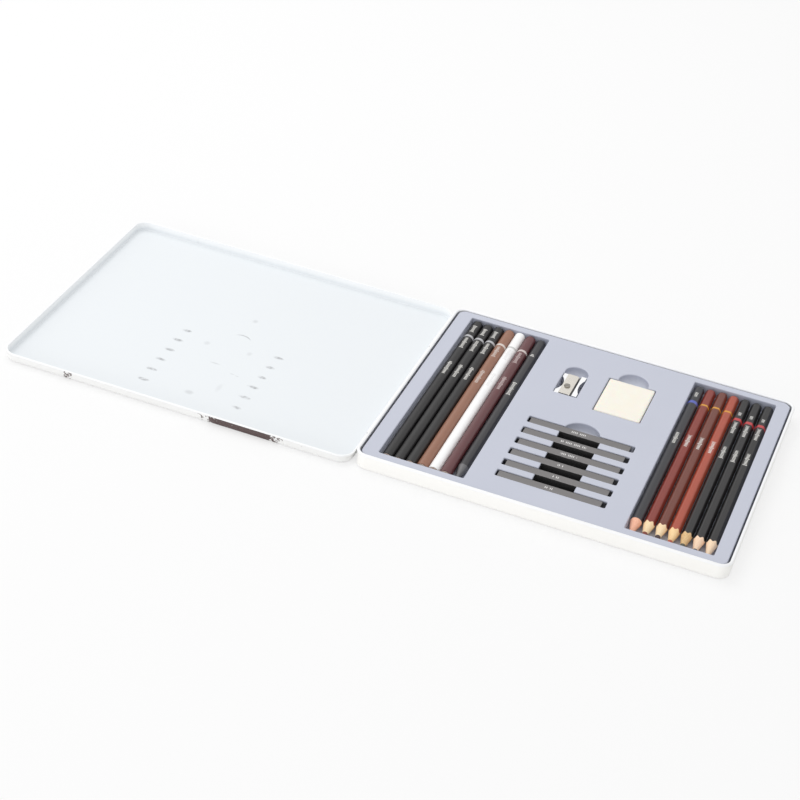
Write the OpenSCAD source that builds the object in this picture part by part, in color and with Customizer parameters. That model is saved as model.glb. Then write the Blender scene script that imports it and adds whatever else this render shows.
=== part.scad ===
// Flat hinged pencil tin: a drawn metal base and lid joined by two small wire hinges,
// a thin formed insert tray, fourteen pencils, six drawing sticks, a sharpener and an eraser.
// Millimetres, +Z up. The origin is the centre of the base's underside.
// +X runs along the tin's width away from the hinge, +Y towards the back, along the pencils.
// The lid is drawn open at 180 degrees, lying flat on its outside at the hinge's -X side.

/* [Tin] */
// Width of the base over its rolled rim, along X
tin_w = 242; // [242:1:270]
// Depth of the base over its rolled rim, along Y
tin_d = 198; // [198:1:220]
// Height of the base to the top of its rolled rim
tin_h = 11.5; // [11.5:0.5:16]
// Outside corner radius of the base's rim
corner_r = 8; // [7:0.5:12]
// Thickness of the drawn sheet
sheet_t = 0.35; // [0.3:0.05:0.4]
// Diameter of the rim that is rolled inwards round the base's mouth
rim_d = 2; // [1.8:0.1:2.2]
// How far the rolled rim stands out from the wall below it
rim_proud = 0.6; // [0.5:0.05:0.7]
// Outside radius between a wall and its panel, base and lid
fold_r = 1.45; // [1.4:0.05:1.6]

/* [Lid] */
// Overall depth of the lid's pan
lid_depth = 6.5; // [6.2:0.1:7]
// Gap all round between the base's rim and the closed lid
lid_gap = 0.4; // [0.35:0.05:0.5]
// Diameter of the roll round the lid's edge
lid_roll_d = 1.2; // [1.1:0.05:1.3]

/* [Hinges] */
// Outside radius of the hinge knuckles
knuckle_r = 1.1; // [1.1:0.05:1.2]
// Radius of the hinge wire
pin_r = 0.65; // [0.6:0.05:0.65]
// Radial clearance of the wire in the lid's knuckle
pin_play = 0.05; // [0.04:0.01:0.06]
// Radial clearance of the wire in the base's knuckles
pin_seat_play = 0.01; // [0.01:0.005:0.02]
// Length of each knuckle on the lid
lid_knuckle_len = 10; // [8:1:12]
// Length of each knuckle on the base
base_knuckle_len = 6; // [5:1:8]
// Gap between neighbouring knuckles
knuckle_gap = 0.2; // [0.15:0.05:0.3]
// Distance of each hinge from the tin's middle
hinge_offset = 58; // [50:1:66]

/* [Insert tray] */
// Thickness of the formed sheet
tray_t = 0.5; // [0.4:0.05:0.5]
// How far the tray's top lies below the rolled rim's top
tray_drop = 1; // [0.8:0.1:1.2]
// Gap between the rim and the tray at the hinge side and the side facing it
tray_gap_side = 1.2; // [0.8:0.1:1.4]
// Gap between the rim and the tray at the front and back
tray_gap_end = 0.25; // [0.2:0.05:0.4]
// Radius of the tray's top edges
lip_r = 0.8; // [0.5:0.1:0.8]

/* [Pencils] */
// Overall length of a pencil
pencil_len = 178; // [170:1:179]
// Diameter of the round pencils in the left well
round_d = 7.6; // [7:0.1:7.6]
// Diameter of the round pencil in the right well
slim_d = 7.4; // [7:0.1:7.6]
// Diameter of the solid graphite pencil
graphite_d = 7; // [6.6:0.1:7.4]
// Width across the flats of the six-sided pencils
hex_flats = 6.8; // [6.4:0.1:6.8]
// Gap between neighbouring pencils
pencil_gap = 0.1; // [0.05:0.05:0.2]
// Diameter of the thick lead in the left well's pencils
soft_lead_d = 3.8; // [3:0.1:4]
// Diameter of the lead in the right well's pencils
lead_d = 2.2; // [2:0.1:3.4]
// Length from a sharpened tip to where its cone meets the flats
cone_len = 13.8; // [12:0.1:16]
// Radius of the blunted tip
tip_r = 0.35; // [0.2:0.05:0.5]
// Radius round the dipped end
dip_r = 1.3; // [0.8:0.1:1.5]

/* [Sticks] */
// Length of a drawing stick
stick_len = 67.5; // [60:0.5:68]
// Side of the stick's square section
stick_side = 6.4; // [6:0.1:6.5]
// Distance from one stick to the next
stick_pitch = 13.2; // [12.6:0.1:13.6]

/* [Eraser] */
// Width of the eraser, along X
eraser_w = 31.5; // [28:0.5:34]
// Depth of the eraser, along Y
eraser_d = 42; // [38:0.5:42]
// Height of the eraser
eraser_h = 7.6; // [6:0.1:8]
// Radius of the eraser's edges
eraser_edge = 0.9; // [0.5:0.1:1.2]

/* [Sharpener] */
// Length of the sharpener's body, along Y
sharp_len = 25.4; // [24:0.2:25.4]
// Width of the sharpener's body at its ends
sharp_w = 15.4; // [15:0.1:15.6]
// Height of the sharpener's body
sharp_h = 9.8; // [9.6:0.1:9.8]
// Radius of the pencil hole at its mouth
sharp_hole_r = 3.9; // [3.6:0.1:4]
// Radius of the pencil hole at its narrow end
sharp_small_r = 0.6; // [0.4:0.1:0.8]

/* [Hidden] */
$fn = 48;

// A cut runs this far past the faces that it goes through.
cut = 1;

// A length to the nearest twentieth of a millimetre, as the tray's mould is dimensioned
function to_grid(v) = round(20 * v) / 20;

// Base: the wall's outside rectangle, which the wall's section is swept round.
wall_w = tin_w - 2 * rim_proud;
wall_d = tin_d - 2 * rim_proud;
wall_r = corner_r - rim_proud;
rim_r = rim_d / 2;

// Angles of the gap in the curl of the base's rim and of the lid's roll
rim_gap = [190, 236];
roll_gap = [248, 300];

// Closed height, and the hinge line at half of it, so that the open lid lies on the same plane.
closed_h = tin_h + lid_gap + sheet_t;
hinge_z = closed_h / 2;
hinge_x = -(tin_w / 2 + lid_gap + knuckle_r);
hinge_leaf_t = lid_gap + rim_proud;
hinge_leaf_low = fold_r + 0.3;
hinge_len = lid_knuckle_len + 2 * base_knuckle_len + 2 * knuckle_gap;
hinge_notch_gap = 0.6;
hinge_notch_h = knuckle_r + 0.275;
pin_end = 0.2;

// Lid: the wall's outside rectangle, and the centre of the open lid.
lid_w = tin_w + 2 * (lid_gap + sheet_t);
lid_d = tin_d + 2 * (lid_gap + sheet_t);
lid_r = corner_r + lid_gap + sheet_t;
lid_x = 2 * hinge_x;
lid_roll_r = lid_roll_d / 2;

// Tray
tray_w = tin_w - 2 * (rim_d + tray_gap_side);
tray_d = tin_d - 2 * (rim_d + tray_gap_end);
tray_r = corner_r - rim_d - 0.5;
tray_top = tin_h - tray_drop;
pocket_r = 1;

// Wells and the pencils in them. A pencil's top lies a little below the tray's top.
pencil_drop = 0.6;
pencil_count = 7;
round_pitch = round_d + pencil_gap;
hex_corners = hex_flats / cos(30);
hex_room = to_grid(hex_corners);
hex_pitch = to_grid(hex_corners + pencil_gap);
well_len = pencil_len + 3;
well_y = 0.5;
well_front = well_y - well_len / 2;
left_well_side = 10.4;
right_well_side = 9.1;
left_well_gap = 1.2;
left_well_w = (pencil_count - 1) * round_pitch + round_d + 2 * left_well_gap;
left_well_x = -tray_w / 2 + left_well_side + left_well_w / 2;
left_well_floor = tray_top - pencil_drop - round_d;
right_well_gap = 0.3;
right_well_w = (pencil_count - 1) * hex_pitch + hex_room + 2 * right_well_gap;
right_well_x = tray_w / 2 - right_well_side - right_well_w / 2;
right_well_floor = tray_top - pencil_drop - slim_d;
pencil_front = well_front + 2;
core_play = 0.02;
// The turned form of a six-sided pencil is this much larger than its corners.
hex_margin = 0.05;
// How far each pencil has slid along its well
left_slide = [0, -0.6, 0, 0.3, 0.6, 0.3, -0.2];
right_slide = [-1.7, -1, -0.2, -0.5, -0.7, -1.3, -1.1];
left_colors = ["#2d2b2c", "#2d2b2c", "#2d2b2c", "#8a6a58", "#f4f1ee", "#6b3a3c"];
right_colors = ["#3a393b", "#8c4a44", "#775049", "#bb6450", "#38363a", "#38363a", "#38363a"];
right_lead_colors = ["#4a4a4c", "#7d3a30", "#4b3c3c", "#b0503c", "#3c4038", "#3a3a3c", "#3a3a3c"];

// Sticks in their slots, with the finger trough that crosses them
stick_count = 6;
stick_drop = 0.6;
stick_x = 0.6;
stick_from_front = 89.35;
stick_y = stick_from_front - tray_d / 2;
slot_len = stick_len + 4.1;
slot_w = stick_side + 0.8;
slot_floor = tray_top - stick_drop - stick_side;
stick_slide = [-0.6, -0.9, -0.2, -0.7, 0.1, -0.8];
trough_w = 27.2;
trough_x = 0.8;
trough_floor = slot_floor + 1.2;
stick_scoop_r = 12.3;
trough_front = stick_y - (stick_count - 1) * stick_pitch;

// Eraser and its pocket
eraser_x = 15.35;
eraser_from_back = 51.65;
eraser_y = tray_d / 2 - eraser_from_back;
eraser_play = 0.6;
eraser_floor = tray_top - eraser_h;
eraser_scoop_r = 10.2;
eraser_scoop_y = eraser_y + eraser_d / 2 + 2;
scoop_depth = 5.6;
scoop_floor = tray_top - scoop_depth;
scoop_fillet = 4.4;

// Sharpener and its pocket
sharp_x = -22.2;
sharp_from_back = 52.35;
sharp_y = tray_d / 2 - sharp_from_back;
sharp_play = 0.4;
sharp_floor = tray_top + 0.15 - sharp_h;
sharp_scoop_r = 7.9;
sharp_scoop_y = sharp_y + sharp_len / 2 + 2.4;
sharp_waist_len = 17;
sharp_seat_z = sharp_h - 0.9;
sharp_cone_top = sharp_seat_z + 0.4;
sharp_axis_x = 2.9;
sharp_slit_x = 4.4;
blade_w = 7.6;
blade_t = 0.6;
blade_x = -1;
screw_x = -1.4;
screw_y = -2.6;
screw_r = 1;
screw_head_r = 2.1;
screw_head_h = 0.8;
screw_len = 5;

// Two-dimensional rectangle with round corners, centred
module rounded_rect(w, d, r) {
    square([w - 2 * r, d], center = true);
    square([w, d - 2 * r], center = true);
    for (sx = [-1, 1], sy = [-1, 1])
        translate([sx * (w / 2 - r), sy * (d / 2 - r)]) circle(r);
}

// Plate with round corners, from height z up
module rounded_plate(w, d, r, z, h) {
    translate([0, 0, z]) linear_extrude(h) rounded_rect(w, d, r);
}

// Sweeps a section round a rectangle with round corners.
// The section's x is the distance outwards from the rectangle, and its y is the height.
// Each straight run ends exactly at the centre of the corner that follows it.
module swept(w, d, r) {
    for (k = [0:3]) {
        half = (k % 2 == 0) ? w / 2 : d / 2;
        corner = (k % 2 == 0) ? d / 2 - r : w / 2 - r;
        rotate([0, 0, 90 * k]) translate([half, corner, 0])
            rotate([90, 0, 0]) linear_extrude(2 * corner) children();
        sx = (k == 0 || k == 3) ? 1 : -1;
        sy = (k < 2) ? 1 : -1;
        translate([sx * (w / 2 - r), sy * (d / 2 - r), 0]) rotate([0, 0, 90 * k])
            rotate_extrude(angle = 90) translate([r, 0]) children();
    }
}

// Section of a drawn pan's wall: a strip of the panel, the round fold and the wall
module pan_section(h) {
    translate([-fold_r - 1, 0]) square([1, sheet_t]);
    translate([-fold_r, fold_r]) intersection() {
        difference() {
            circle(fold_r);
            circle(fold_r - sheet_t);
        }
        translate([0, -fold_r]) square([fold_r, fold_r]);
    }
    translate([-sheet_t, fold_r]) square([sheet_t, h - fold_r]);
}

// Drawn pan: a flat panel with a folded wall all round
module pan(w, d, r, h) {
    swept(w, d, r) pan_section(h);
    rounded_plate(w - 2 * fold_r, d - 2 * fold_r, r - fold_r, 0, sheet_t);
}

// Open curl of sheet: a ring with a gap between two angles, centred
module curl_section(r, gap) {
    mid = (gap[0] + gap[1]) / 2;
    difference() {
        circle(r);
        circle(r - sheet_t);
        polygon([
            [0, 0],
            3 * r * [cos(gap[0]), sin(gap[0])],
            4 * r * [cos(mid), sin(mid)],
            3 * r * [cos(gap[1]), sin(gap[1])]
        ]);
    }
}

// Round bar or ring along Y, from y0, at the hinge line of the base's frame
module hinge_bar(r, y0, len) {
    translate([hinge_x, y0 + len, hinge_z]) rotate([90, 0, 0]) cylinder(r = r, h = len);
}

// Y where each of a hinge's two base knuckles starts
function base_knuckle_starts(y) = [y - hinge_len / 2, y + hinge_len / 2 - base_knuckle_len];

// One knuckle of the base, with its leaf against the wall
module base_knuckle(y0) {
    difference() {
        union() {
            hinge_bar(knuckle_r, y0, base_knuckle_len);
            translate([hinge_x + knuckle_r, y0, hinge_leaf_low])
                cube([hinge_leaf_t + sheet_t / 2, base_knuckle_len, hinge_z - hinge_leaf_low]);
            translate([hinge_x, y0, hinge_z - knuckle_r])
                cube([knuckle_r + sheet_t / 2, base_knuckle_len, knuckle_r]);
        }
        hinge_bar(pin_r + pin_seat_play, y0 - cut, base_knuckle_len + 2 * cut);
    }
}

// Drawn base with its rolled rim and its hinge knuckles
module tin_base() {
    color("#e9e5df") {
        pan(wall_w, wall_d, wall_r, tin_h - rim_d + sheet_t / 2);
        swept(wall_w, wall_d, wall_r)
            translate([rim_proud - rim_r, tin_h - rim_r]) curl_section(rim_r, rim_gap);
        for (y = [-hinge_offset, hinge_offset])
            for (y0 = base_knuckle_starts(y)) base_knuckle(y0);
    }
}

// Drawn lid, open: its pan, the roll round its edge, and its two hinge knuckles
module tin_lid() {
    notch_low = closed_h - hinge_z - hinge_notch_h;
    notch_len = hinge_len + 2 * hinge_notch_gap;
    wall_x = lid_x + lid_w / 2 - sheet_t;
    color("#eef1f3") {
        difference() {
            translate([lid_x, 0, 0]) {
                pan(lid_w, lid_d, lid_r, lid_depth - lid_roll_r);
                swept(lid_w, lid_d, lid_r)
                    translate([lid_roll_r - sheet_t, lid_depth - lid_roll_r])
                        curl_section(lid_roll_r, roll_gap);
            }
            for (y = [-hinge_offset, hinge_offset])
                translate([wall_x - cut / 4, y - notch_len / 2, notch_low])
                    cube([cut / 4 + sheet_t + lid_roll_d, notch_len, lid_depth]);
        }
        for (y = [-hinge_offset, hinge_offset]) difference() {
            union() {
                hinge_bar(knuckle_r, y - lid_knuckle_len / 2, lid_knuckle_len);
                translate([wall_x, y - lid_knuckle_len / 2, notch_low - cut / 4])
                    cube([sheet_t, lid_knuckle_len, hinge_z - notch_low + cut / 4]);
            }
            hinge_bar(pin_r + pin_play, y - lid_knuckle_len / 2 - cut, lid_knuckle_len + 2 * cut);
        }
    }
}

// The two hinge wires
module hinge_pins() {
    color("#b9bcc0") for (y = [-hinge_offset, hinge_offset])
        hinge_bar(pin_r, y - hinge_len / 2 - pin_end, hinge_len + 2 * pin_end);
}

// Rectangular pocket of the tray: its hollow, grown by a wall thickness for the outer form
module pocket(x, y, w, d, r, floor_z, grow) {
    rise = (grow > 0) ? 0 : cut;
    translate([x, y, 0])
        rounded_plate(w + 2 * grow, d + 2 * grow, r + grow, floor_z - grow,
                      tray_top - floor_z + grow + rise);
}

// Round scoop of the tray with a filleted floor
module scoop(x, y, r, floor_z, grow) {
    rise = (grow > 0) ? 0 : cut;
    low = floor_z - grow;
    fillet = scoop_fillet + grow;
    translate([x, y, 0]) rotate_extrude() {
        translate([0, low + fillet]) square([r + grow, tray_top - low - fillet + rise]);
        translate([0, low]) square([r + grow - fillet, fillet]);
        translate([r + grow - fillet, low + fillet]) intersection() {
            circle(fillet);
            translate([0, -fillet]) square([fillet, fillet]);
        }
    }
}

// Every hollow of the tray, grown by a wall thickness for the outer form
module tray_hollows(grow) {
    pocket(left_well_x, well_y, left_well_w, well_len, pocket_r, left_well_floor, grow);
    pocket(right_well_x, well_y, right_well_w, well_len, pocket_r, right_well_floor, grow);
    for (i = [0:stick_count - 1])
        pocket(stick_x, stick_y - i * stick_pitch, slot_len, slot_w, pocket_r, slot_floor, grow);
    pocket(trough_x, (stick_y + trough_front) / 2, trough_w, stick_y - trough_front, pocket_r,
           trough_floor, grow);
    scoop(trough_x, stick_y, stick_scoop_r, trough_floor, grow);
    pocket(eraser_x, eraser_y, eraser_w + 2 * eraser_play, eraser_d + 2 * eraser_play, pocket_r,
           eraser_floor, grow);
    scoop(eraser_x, eraser_scoop_y, eraser_scoop_r, scoop_floor, grow);
    pocket(sharp_x, sharp_y, sharp_w + 2 * sharp_play, sharp_len + 2 * sharp_play, pocket_r,
           sharp_floor, grow);
    scoop(sharp_x, sharp_scoop_y, sharp_scoop_r, scoop_floor, grow);
}

// Section that rounds over a hollow's top edge
module lip_section() {
    difference() {
        translate([-cut / 4, tray_top - lip_r]) square([lip_r + cut / 4, lip_r + cut / 4]);
        translate([lip_r, tray_top - lip_r]) circle(lip_r);
    }
}

// Rounds over the top edge of a rectangular pocket
module pocket_lip(x, y, w, d) {
    translate([x, y, 0]) swept(w, d, pocket_r) lip_section();
}

// Rounds over the top edge of a round scoop
module scoop_lip(x, y, r) {
    translate([x, y, 0]) rotate_extrude() translate([r, 0]) lip_section();
}

// Formed insert: a thin top with a skirt, and pockets pressed into it
module insert_tray() {
    color("#c6cad6") difference() {
        union() {
            difference() {
                rounded_plate(tray_w, tray_d, tray_r, sheet_t, tray_top - sheet_t);
                rounded_plate(tray_w - 2 * tray_t, tray_d - 2 * tray_t, tray_r - tray_t,
                              sheet_t - cut, tray_top - tray_t - sheet_t + cut);
            }
            tray_hollows(tray_t);
        }
        tray_hollows(0);
        pocket_lip(left_well_x, well_y, left_well_w, well_len);
        pocket_lip(right_well_x, well_y, right_well_w, well_len);
        for (i = [0:stick_count - 1])
            pocket_lip(stick_x, stick_y - i * stick_pitch, slot_len, slot_w);
        pocket_lip(eraser_x, eraser_y, eraser_w + 2 * eraser_play, eraser_d + 2 * eraser_play);
        pocket_lip(sharp_x, sharp_y, sharp_w + 2 * sharp_play, sharp_len + 2 * sharp_play);
        pocket_lip(trough_x, (stick_y + trough_front) / 2, trough_w, stick_y - trough_front);
        scoop_lip(trough_x, stick_y, stick_scoop_r);
        scoop_lip(eraser_x, eraser_scoop_y, eraser_scoop_r);
        scoop_lip(sharp_x, sharp_scoop_y, sharp_scoop_r);
        swept(tray_w, tray_d, tray_r) mirror([1, 0]) lip_section();
    }
}

// Block eraser with soft edges
module eraser() {
    w = eraser_w;
    d = eraser_d;
    e = eraser_edge;
    color("#fbf7ec") translate([eraser_x, eraser_y, eraser_floor]) difference() {
        rounded_plate(w, d, 2 * e, 0, eraser_h);
        for (top = [0, 1])
            translate([0, 0, top * eraser_h]) mirror([0, 0, top]) swept(w, d, 2 * e) difference() {
                translate([-e, -cut / 4]) square([e + cut / 4, e + cut / 4]);
                translate([-e, e]) circle(e);
            }
    }
}

// Outline of the sharpener from above: wide ends and a waist hollowed for the fingers
module sharpener_outline() {
    difference() {
        square([sharp_w, sharp_len], center = true);
        for (side = [[-1, 2.8], [1, 1.8]]) {
            half = sharp_waist_len / 2;
            waist_r = (half * half + side[1] * side[1]) / (2 * side[1]);
            translate([side[0] * (sharp_w / 2 - side[1] + waist_r), 0]) circle(waist_r);
        }
    }
}

// Metal wedge sharpener: its block with the blade's seat, the cone and the screw's hole
module sharpener_body() {
    slope = (sharp_hole_r - sharp_small_r) / sharp_len;
    tilt = atan(slope);
    color("#c9cbce") translate([sharp_x, sharp_y, sharp_floor]) difference() {
        linear_extrude(sharp_h) sharpener_outline();
        translate([-sharp_w, -sharp_len, sharp_seat_z])
            cube([sharp_w + sharp_slit_x, 2 * sharp_len, cut + sharp_h - sharp_seat_z]);
        translate([sharp_axis_x, -sharp_len / 2, sharp_cone_top - sharp_hole_r])
            rotate([-90 + tilt, 0, 0]) translate([0, 0, -cut])
                cylinder(r1 = sharp_hole_r + cut * slope, r2 = sharp_small_r - cut * slope,
                         h = sharp_len / cos(tilt) + 2 * cut);
        translate([screw_x, screw_y, sharp_seat_z - screw_len])
            cylinder(r = screw_r, h = screw_len + cut);
    }
}

// Blade: a ground plate over the seat, with its edge at the slit
module sharpener_blade() {
    bevel = 1.2;
    color("#c3beb4") translate([sharp_x, sharp_y, sharp_floor + sharp_seat_z]) difference() {
        translate([blade_x, 0, 0]) rotate([90, 0, 0]) linear_extrude(sharp_len - 0.8, center = true)
            polygon([
                [-blade_w / 2, 0],
                [blade_w / 2, 0],
                [blade_w / 2 - bevel, blade_t],
                [-blade_w / 2, blade_t]
            ]);
        translate([screw_x, screw_y, -cut]) cylinder(r = screw_r + 0.1, h = blade_t + 2 * cut);
    }
}

// Slotted screw that holds the blade
module sharpener_screw() {
    slot = 0.5;
    color("#a9a59d") translate([sharp_x + screw_x, sharp_y + screw_y, sharp_floor + sharp_seat_z])
        difference() {
            union() {
                translate([0, 0, blade_t]) cylinder(r = screw_head_r, h = screw_head_h);
                translate([0, 0, 0.5 - screw_len]) cylinder(r = screw_r, h = screw_len - 0.5 + blade_t);
            }
            translate([0, 0, blade_t + screw_head_h]) rotate([0, 0, 35])
                cube([3 * screw_head_r, slot, 2 * slot], center = true);
        }
}

// Square drawing stick
module stick(i) {
    soft_edge = 0.35;
    color("#3b3838")
        translate([stick_x + stick_slide[i], stick_y - i * stick_pitch, slot_floor + stick_side / 2])
            rotate([90, 0, 90]) linear_extrude(stick_len, center = true)
                rounded_rect(stick_side, stick_side, soft_edge);
}

// Places a pencil that is drawn upwards from its front end, lying along Y on a well's floor
module in_well(x, z, slide) {
    translate([x, pencil_front + slide, z]) rotate([-90, 0, 0]) children();
}

// Solid of revolution of a pencil that isn't sharpened: a flat front and a dipped end
module flat_form(r) {
    rotate_extrude() polygon(concat(
        [[0, 0], [r, 0]],
        [for (a = [0:15:90]) [r - dip_r + dip_r * cos(a), pencil_len - dip_r + dip_r * sin(a)]],
        [[0, pencil_len]]
    ));
}

// Solid of revolution of a sharpened pencil whose cone reaches radius flat_r at cone_len
module sharp_form(r, flat_r) {
    slope = (flat_r - tip_r) / cone_len;
    rotate_extrude() polygon(concat(
        [[0, 0], [tip_r, 0], [r, (r - tip_r) / slope]],
        [for (a = [0:15:90]) [r - dip_r + dip_r * cos(a), pencil_len - dip_r + dip_r * sin(a)]],
        [[0, pencil_len]]
    ));
}

function left_x(i) = left_well_x - left_well_w / 2 + left_well_gap + round_d / 2 + i * round_pitch;
function right_x(i) = right_well_x - right_well_w / 2 + right_well_gap + hex_room / 2
    + i * hex_pitch;

module left_casing(i) {
    color(left_colors[i]) in_well(left_x(i), left_well_floor + round_d / 2, left_slide[i])
        difference() {
            flat_form(round_d / 2);
            translate([0, 0, -cut])
                cylinder(d = soft_lead_d + 2 * core_play, h = pencil_len - dip_r + cut);
        }
}

module left_lead(i) {
    color("#262424") in_well(left_x(i), left_well_floor + round_d / 2, left_slide[i])
        cylinder(d = soft_lead_d, h = pencil_len - dip_r);
}

module graphite_pencil() {
    i = pencil_count - 1;
    color("#4b4a4b") in_well(left_x(i), left_well_floor + graphite_d / 2, left_slide[i])
        sharp_form(graphite_d / 2, graphite_d / 2);
}

// The first pencil of the right well is round, and the others have six sides.
function right_half(i) = (i == 0) ? slim_d / 2 : hex_flats / 2;

module right_form(i) {
    if (i == 0)
        sharp_form(slim_d / 2, slim_d / 2);
    else
        intersection() {
            sharp_form(hex_corners / 2 + hex_margin, hex_flats / 2);
            cylinder(d = hex_corners, h = pencil_len, $fn = 6);
        }
}

module right_casing(i) {
    color(right_colors[i]) in_well(right_x(i), right_well_floor + right_half(i), right_slide[i])
        difference() {
            right_form(i);
            translate([0, 0, -cut])
                cylinder(d = lead_d + 2 * core_play, h = pencil_len - dip_r + cut);
        }
}

module right_lead(i) {
    color(right_lead_colors[i])
        in_well(right_x(i), right_well_floor + right_half(i), right_slide[i])
            intersection() {
                cylinder(d = lead_d, h = pencil_len - dip_r);
                sharp_form(right_half(i), right_half(i));
            }
}

tin_base();
tin_lid();
hinge_pins();
insert_tray();
eraser();
sharpener_body();
sharpener_blade();
sharpener_screw();
for (i = [0:stick_count - 1])
    stick(i);
for (i = [0:pencil_count - 2]) {
    left_casing(i);
    left_lead(i);
}
graphite_pencil();
for (i = [0:pencil_count - 1]) {
    right_casing(i);
    right_lead(i);
}
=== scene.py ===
# %% [markdown]
# # A flat pencil tin, open on a table
# A drawn metal tin lies open with its lid flat beside it. A thin formed tray in the base holds
# fourteen pencils, six drawing sticks, a sharpener and an eraser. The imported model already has
# every shape in its true place, in metres, so this lesson is about dressing it: softening what a
# press or a mould softens, cutting the pencils as a sharpener cuts them, and giving each surface
# the finish that its real material has.

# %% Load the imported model
import math
import bmesh
import bpy
from mathutils import Matrix, Vector


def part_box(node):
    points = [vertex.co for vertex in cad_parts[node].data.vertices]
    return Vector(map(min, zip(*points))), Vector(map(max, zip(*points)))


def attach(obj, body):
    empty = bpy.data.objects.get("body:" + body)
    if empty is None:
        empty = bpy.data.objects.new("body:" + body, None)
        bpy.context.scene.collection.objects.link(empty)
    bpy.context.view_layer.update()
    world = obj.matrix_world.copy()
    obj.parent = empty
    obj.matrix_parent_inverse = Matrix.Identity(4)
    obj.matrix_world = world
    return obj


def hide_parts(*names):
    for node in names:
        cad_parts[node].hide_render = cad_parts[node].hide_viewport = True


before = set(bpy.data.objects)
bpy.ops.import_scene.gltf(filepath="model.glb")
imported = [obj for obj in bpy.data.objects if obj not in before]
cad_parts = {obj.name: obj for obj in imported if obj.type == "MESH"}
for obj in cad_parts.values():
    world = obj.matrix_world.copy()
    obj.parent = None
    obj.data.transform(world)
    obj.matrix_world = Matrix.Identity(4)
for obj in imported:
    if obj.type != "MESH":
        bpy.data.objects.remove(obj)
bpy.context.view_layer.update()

# %% [markdown]
# ## The camera
# The photograph was taken with a fairly long lens, from above and a little to the right of the
# tin's front, with the camera tipped sideways. Its place was solved from the straight edges of the
# tin, so here it only has to be written down: where it aims, how far back it stands, and its tip.

# %% Camera
azimuth, elevation, tip_angle = (math.radians(a) for a in (16.605, 33.900, 7.314))
aim = Vector((-0.1204, -0.0147, 0.0))
distance = 1.3507
back = Vector((
    math.sin(azimuth) * math.cos(elevation),
    -math.cos(azimuth) * math.cos(elevation),
    math.sin(elevation),
))
level = Vector((math.cos(azimuth), math.sin(azimuth), 0.0))
upright = back.cross(level)
right = math.cos(tip_angle) * level + math.sin(tip_angle) * upright
top = math.cos(tip_angle) * upright - math.sin(tip_angle) * level

camera_data = bpy.data.cameras.new("camera")
camera_data.sensor_width = 36.0
camera_data.lens = 36.0 * 2059.02 / 800
camera = bpy.data.objects.new("camera", camera_data)
bpy.context.scene.collection.objects.link(camera)
camera.matrix_world = Matrix.Translation(aim + distance * back) @ Matrix(
    (right, top, back)
).transposed().to_4x4()
camera_data.clip_end = 10.0
bpy.context.scene.camera = camera
print("lens in mm:", round(camera_data.lens, 2))

# %% [markdown]
# ## Small helpers for finishes
# Colours are read off the real thing as sRGB codes, while the renderer works in linear light, so
# one function converts them. A second adds any node with its settings and its links, and a third
# starts a finish whose plain numbers stand on the shader itself.

# %% Helpers for finishes
def linear(code):
    """An sRGB code such as #c8cbd8 as linear RGBA."""
    parts = [int(code[i:i + 2], 16) / 255 for i in (1, 3, 5)]
    return (*(c / 12.92 if c <= 0.04045 else ((c + 0.055) / 1.055) ** 2.4 for c in parts), 1.0)


def main_output(node):
    """A node's first live output."""
    return next(s for s in node.outputs if s.enabled)


def add(tree, kind, inputs=None, **settings):
    """Adds a node. inputs is a list for its live sockets in order, or a dict by socket name;
    a value is a number, a colour, a socket, or a node, which stands for its first live output."""
    node = tree.nodes.new(kind)
    for name, value in settings.items():
        setattr(node, name, value)
    live = [s for s in node.inputs if s.enabled]
    pairs = inputs.items() if isinstance(inputs, dict) else enumerate(inputs or [])
    for key, value in pairs:
        socket = live[key] if isinstance(key, int) else next(s for s in live if s.name == key)
        if isinstance(value, bpy.types.Node):
            value = main_output(value)
        if isinstance(value, bpy.types.NodeSocket):
            tree.links.new(value, socket)
        elif value is not None:
            socket.default_value = value
    return node


def new_finish(name, **plain):
    """A finish with its shader's plain numbers set, as (material, tree, shader)."""
    finish = bpy.data.materials.new(name)
    finish.use_nodes = True
    shader = finish.node_tree.nodes["Principled BSDF"]
    for socket, value in plain.items():
        shader.inputs[socket.replace("_", " ")].default_value = value
    return finish, finish.node_tree, shader


def in_mm(tree):
    """The piece's own coordinates in millimetres, so that every scale below is a real size."""
    place = add(tree, "ShaderNodeTexCoord").outputs["Object"]
    return add(tree, "ShaderNodeVectorMath", {0: place, "Scale": 1000.0}, operation="SCALE")


print("helpers ready")

# %% [markdown]
# ## The table and the light
# The tin was photographed on seamless white. The floor is near-white paint that keeps the soft
# contact shadow, and rays from the camera see part of it as pure white. The light is one big soft
# lamp above and behind, an even sky, and a low fill from the front, which reaches the tin's upright
# front but not the hollows. Together they keep a level where a colour renders about as written.

# %% Floor, sky and lamp
floor_mesh = bpy.data.meshes.new("floor")
floor_mesh.from_pydata(
    [(-4, -4, -0.0002), (4, -4, -0.0002), (4, 4, -0.0002), (-4, 4, -0.0002)], [], [(0, 1, 2, 3)]
)
floor = bpy.data.objects.new("floor", floor_mesh)
bpy.context.scene.collection.objects.link(floor)

floor_paint, tree, shader = new_finish("seamless white paper", Roughness=0.9)
shader.inputs["Base Color"].default_value = linear("#f7f7f7")
seen = add(tree, "ShaderNodeLightPath")
glow = add(tree, "ShaderNodeEmission", {"Color": (1, 1, 1, 1), "Strength": 1.0})
share = add(tree, "ShaderNodeMath", [seen.outputs["Is Camera Ray"], 0.6], operation="MULTIPLY")
both = add(tree, "ShaderNodeMixShader", [share, shader.outputs[0], glow])
tree.links.new(both.outputs[0], tree.nodes["Material Output"].inputs["Surface"])
floor_mesh.materials.append(floor_paint)

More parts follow.
